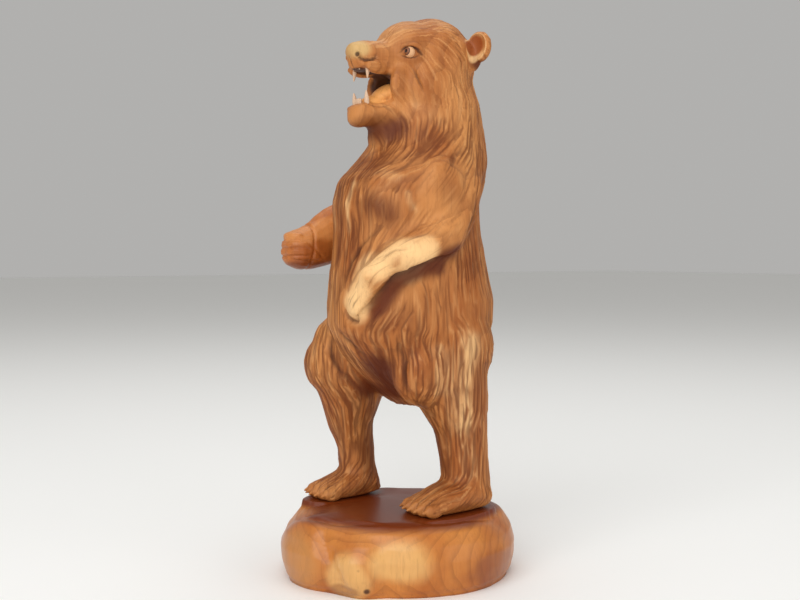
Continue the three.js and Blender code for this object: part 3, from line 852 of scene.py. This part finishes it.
baseLook = {
    "dark": rgb(96, 40, 12), "brown": rgb(172, 94, 34), "tan": rgb(200, 126, 56), "top": rgb(108, 40, 9),
    "topEdge": (62.5, 69.5), "topRagged": 4, "topDepth": 0.95,
    "pith": (30, -10), "ringSpacing": 6, "ringWander": 34, "grainScale": 0.7, "ringDepth": 0.22,
    "rough": 0.3, "coat": 0.2,
    "patches": [
        (rgb(226, 176, 108), [((62, -104, -50), (26, 26, 24)), ((94, -68, -34), (26, 40, 24))], 0.75),
        (rgb(190, 134, 76), [((0, -126, -44), (34, 18, 30))], 0.6),
        # darker: painted shade on the shadowed right end, and darker low at the front
        (rgb(120, 54, 20), [((60, -108, -66), (20, 12, 7)), ((104, 40, -50), (30, 40, 18))], 0.45),
        (rgb(60, 26, 10), [((73, -99, -41), (3, 3, 3)), ((78, -92, -64), (5, 4, 4))], 0.9),
    ],
}
baseForm = {
    "halfLong": 127, "halfShort": 106, "height": 72, "turn": 57, "segments": 256, "rings": 150,
    # share of the way from the middle underneath to the middle on top: spread, height
    "profile": [(0, 0, 0), (0.22, 0.88, 0), (0.26, 0.925, 0.012), (0.34, 0.965, 0.12), (0.45, 0.99, 0.3),
                (0.56, 1.0, 0.5), (0.66, 0.97, 0.7), (0.74, 0.9, 0.88), (0.79, 0.82, 0.965),
                (0.84, 0.74, 1.0), (0.92, 0.4, 1.0), (1, 0, 1.0)],
    "swells": [(22, 1.6), (60, 0.5)],  # how fine, how deep
    "seats": [(52, 30, 34, 58), (-69, -28, 30, 50)],  # flat places under the feet: middle, half sizes
    "footGap": 0.1,
}
baseBumps = [  # place in world millimetres, reach, amount
    ((-4, -117, 28), 60, 5), ((62, -88, 26), 42, 9), ((96, 14, 38), 60, 3), ((30, 118, 36), 60, 4),
    ((-96, -30, 34), 60, 3), ((-80, 80, 40), 50, -4), ((-60, -92, 66), 46, -6), ((84, 74, 66), 40, -4),
    ((-30, -92, 74), 30, -3), ((20, -84, 74), 30, -2.5),
]
baseFolds = [  # points in world millimetres, width, depth
    ([(22, -110, 70), (33, -113, 54), (43, -112, 34), (50, -104, 14), (52, -98, 2)], 16, 6),
    ([(78, -84, 60), (90, -72, 40), (88, -70, 16), (80, -70, 2)], 20, 3),
    ([(-44, -104, 66), (-12, -104, 68), (14, -95, 71), (44, -74, 72), (62, -60, 72)], 6, 2.2),
    ([(72, -24, 73), (84, -12, 72), (91, 14, 72), (90, 44, 72), (80, 74, 72)], 6, 2.4),
    ([(-100, 10, 60), (-112, 30, 40), (-100, 50, 14)], 16, 4),
    ([(20, 112, 70), (8, 124, 40), (14, 116, 8)], 18, 4),
]


def baseBlock():
    bpy.ops.object.select_all(action="DESELECT")
    bpy.ops.mesh.primitive_uv_sphere_add(segments=baseForm["segments"], ring_count=baseForm["rings"])
    block = bpy.context.object
    carving = Carving(block)
    x, y, z = carving.co.T
    share = 0.5 + np.arcsin(np.clip(z, -1, 1)) / np.pi
    shares, spreads, heights = (np.array(column) for column in zip(*baseForm["profile"]))
    spread = np.interp(share, shares, spreads)
    angle = np.arctan2(y, x)
    turn = math.radians(baseForm["turn"])
    long = np.cos(angle) * spread * baseForm["halfLong"]
    short = np.sin(angle) * spread * baseForm["halfShort"]
    carving.co[:, 0] = (long * math.cos(turn) - short * math.sin(turn)) * mm
    carving.co[:, 1] = (long * math.sin(turn) + short * math.cos(turn)) * mm
    carving.co[:, 2] = np.interp(share, shares, heights) * baseForm["height"] * mm
    carving.store()
    modify(block, "SMOOTH", factor=0.5, iterations=6)
    carving = Carving(block)
    for place, reach, amount in baseBumps:
        carving.pull(Vector(place) * mm, reach, amount)
    carving.store()
    for points, width, depth in baseFolds:
        carving.groove(curveThrough([Vector(point) * mm for point in points]), width, depth)
    carving.store()
    for i, place in enumerate(carving.co):
        swell = sum(noise.noise(Vector(place) * fine) * deep for fine, deep in baseForm["swells"])
        carving.co[i] += carving.normal[i] * swell * mm
    under = carving.co[:, 2] < 2.5 * mm
    carving.co[under, 2] = 0
    carving.co[:, 2] = carving.co[:, 2].clip(0, baseForm["height"] * mm)
    seats = np.zeros(len(carving.co), bool)
    x, y = (carving.co / mm).T[:2]
    for middleX, middleY, reachX, reachY in baseForm["seats"]:
        seats |= ((x - middleX) / reachX) ** 2 + ((y - middleY) / reachY) ** 2 < 1
    seats &= carving.co[:, 2] > 0.6 * baseForm["height"] * mm
    carving.co[seats, 2] = (baseForm["height"] - baseForm["footGap"]) * mm
    carving.store()
    modify(block, "SMOOTH", factor=0.4, iterations=2)
    carving = Carving(block)
    carving.co[carving.co[:, 2] < 1.2 * mm, 2] = 0
    carving.store()
    finishPiece(block, smoothWood("baseWood", baseLook), "base")
    print("base", len(block.data.polygons))


baseBlock()

teethForm = {
    "incisorCount": 5, "incisorOverlap": 0.58, "incisorVoxel": 0.4,
    "dark": rgb(190, 150, 118), "light": rgb(224, 192, 162), "rough": 0.45, "coat": 0.1,
}
eyeForm = {
    "radius": 5.9, "iris": (32.8, -17.2, 483), "irisBump": (4.6, 0.4), "pupilHole": (2.2, 0.9),
    "white": rgb(216, 164, 118), "rough": 0.42, "coat": 0.1,
    "rims": [(4.8, rgb(60, 24, 10)), (4.0, rgb(126, 70, 32)), (2.0, rgb(34, 12, 6))],  # radius, colour
}


def toothMaterial():
    paint = Paint("toothWood")
    fibre = paint.noise(paint.stretch(paint.place, (300, 300, 40)), 1.0)
    body = paint.mix(fibre, teethForm["dark"], teethForm["light"])
    return paint.set(Base_Color=body, Roughness=teethForm["rough"], Coat_Weight=teethForm["coat"])


def eyeMaterial():
    paint = Paint("eyeWood")
    body = eyeForm["white"]
    x, y, height = eyeForm["iris"]
    for radius, colour in eyeForm["rims"]:
        iris = [((side * x, y, height), (radius, radius, radius)) for side in (1, -1)]
        body = paint.mix(spots(paint, iris, 0.0, 0.94, 1.04), body, colour)
    return paint.set(Base_Color=body, Roughness=eyeForm["rough"], Coat_Weight=eyeForm["coat"])


def incisorStrip(node):  # small rounded crowns side by side
    low, high = (Vector(corner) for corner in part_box(node))
    size, crowns = high - low, []
    for i in range(teethForm["incisorCount"]):
        share = (i + 0.5) / teethForm["incisorCount"]
        centre = low + Vector((size.x * share, size.y / 2, size.z / 2))
        wide = size.x / teethForm["incisorCount"] * teethForm["incisorOverlap"]
        crowns.append(lump(centre, Vector((wide, size.y / 2, size.z / 2)) / mm))
    strip = joinInto(crowns[0], crowns[1:])
    modify(strip, "REMESH", mode="VOXEL", voxel_size=teethForm["incisorVoxel"] * mm)
    return strip


def eyeBead(node):
    low, high = (Vector(corner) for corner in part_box(node))
    centre = (low + high) / 2
    bead = lump(centre, [eyeForm["radius"]] * 3)
    modify(bead, "SUBSURF", levels=2, render_levels=2)
    x, y, height = eyeForm["iris"]
    front = at(x if centre.x > home.x else -x, y, height)
    carving = Carving(bead)
    reach, amount = eyeForm["irisBump"]
    carving.pull(front, reach, amount, soft=0.7)
    reach, depth = eyeForm["pupilHole"]
    carving.pull(front, reach, -depth, soft=1.2)
    carving.store()
    return bead


def teethAndEyes():
    tooth, eye = toothMaterial(), eyeMaterial()
    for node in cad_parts:
        if "canine" in node:
            piece = cadCopy(node, node + "Carved")
            modify(piece, "SUBSURF", levels=2, render_levels=2)
            finishPiece(piece, tooth, node)
        elif "incisor" in node:
            piece = incisorStrip(node)
            piece.name = node + "Carved"
            finishPiece(piece, tooth, node)
        elif node.startswith("eye"):
            piece = eyeBead(node)
            piece.name = node + "Carved"
            finishPiece(piece, eye, node)
    print("teeth and eyes")


teethAndEyes()

# dowel, screws and the plugs over them
plugLook = dict(
    armLook, rough=0.5, coat=0.0, patches=[], ringSpacing=2.5,
    brown=rgb(196, 150, 98), tan=rgb(220, 180, 128), dark=rgb(140, 92, 50),
)
screwLook = {"steel": rgb(150, 148, 144), "rough": 0.28, "brushed": 0.2}


def joinery():
    plain = smoothWood("plainWood", plugLook)
    steel = Paint("screwSteel")
    brushed = steel.noise(steel.stretch(steel.place, (900, 900, 60)), 1.0)
    steel.set(Base_Color=screwLook["steel"], Metallic=1.0,
              Roughness=screwLook["rough"] + brushed * screwLook["brushed"])
    for node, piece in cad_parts.items():
        if node.startswith("foot_screw") or node.startswith("screw_plug") or node == "forearm_dowel":
            piece.data.materials.clear()
            piece.data.materials.append(steel.material if node.startswith("foot") else plain)
    print("hidden joinery")


joinery()

studio = {
    "floorSize": 30, "floor": rgb(248, 248, 246), "world": (0.88, 0.87, 0.85, 1), "worldStrength": 0.5,
    "aim": (0, 0, 0.3),
    "lamps": {  # place, size, power
        "key": ((1.8, -2.5, 2.2), 3.4, 95), "fill": ((2.7, 1.1, 1.1), 2.2, 16),
        "top": ((-0.5, 0.4, 2.9), 2.5, 23),
    },
    "lens": 47, "camera": (0.9462, -0.6110, 0.3437), "tilt": 87.48, "turn": 57,
}


def stage():
    bpy.ops.object.select_all(action="DESELECT")
    bpy.ops.mesh.primitive_plane_add(size=studio["floorSize"], location=(0, 0, 0))
    floor = bpy.context.object
    floor.name = "floor"
    paint = Paint("paleFloor")
    paint.set(Base_Color=studio["floor"], Roughness=0.9, Specular_IOR_Level=0.2)
    floor.data.materials.append(paint.material)
    world = bpy.data.worlds.new("studio")
    bpy.context.scene.world = world
    world.use_nodes = True
    background = world.node_tree.nodes["Background"]
    background.inputs["Color"].default_value = studio["world"]
    background.inputs["Strength"].default_value = studio["worldStrength"]
    bpy.context.scene.view_settings.view_transform = "Standard"
    for name, (place, size, power) in studio["lamps"].items():
        lamp = bpy.data.objects.new(name, bpy.data.lights.new(name, "AREA"))
        lamp.data.size = size
        lamp.data.energy = power
        lamp.location = place
        way = Vector(studio["aim"]) - Vector(place)
        lamp.rotation_euler = way.to_track_quat("-Z", "Y").to_euler()
        bpy.context.collection.objects.link(lamp)
    camera = bpy.data.objects.new("camera", bpy.data.cameras.new("camera"))
    camera.data.lens = studio["lens"]
    camera.location = studio["camera"]
    camera.rotation_euler = (math.radians(studio["tilt"]), 0, math.radians(studio["turn"]))
    bpy.context.collection.objects.link(camera)
    bpy.context.scene.camera = camera
    print("stage set")


stage()
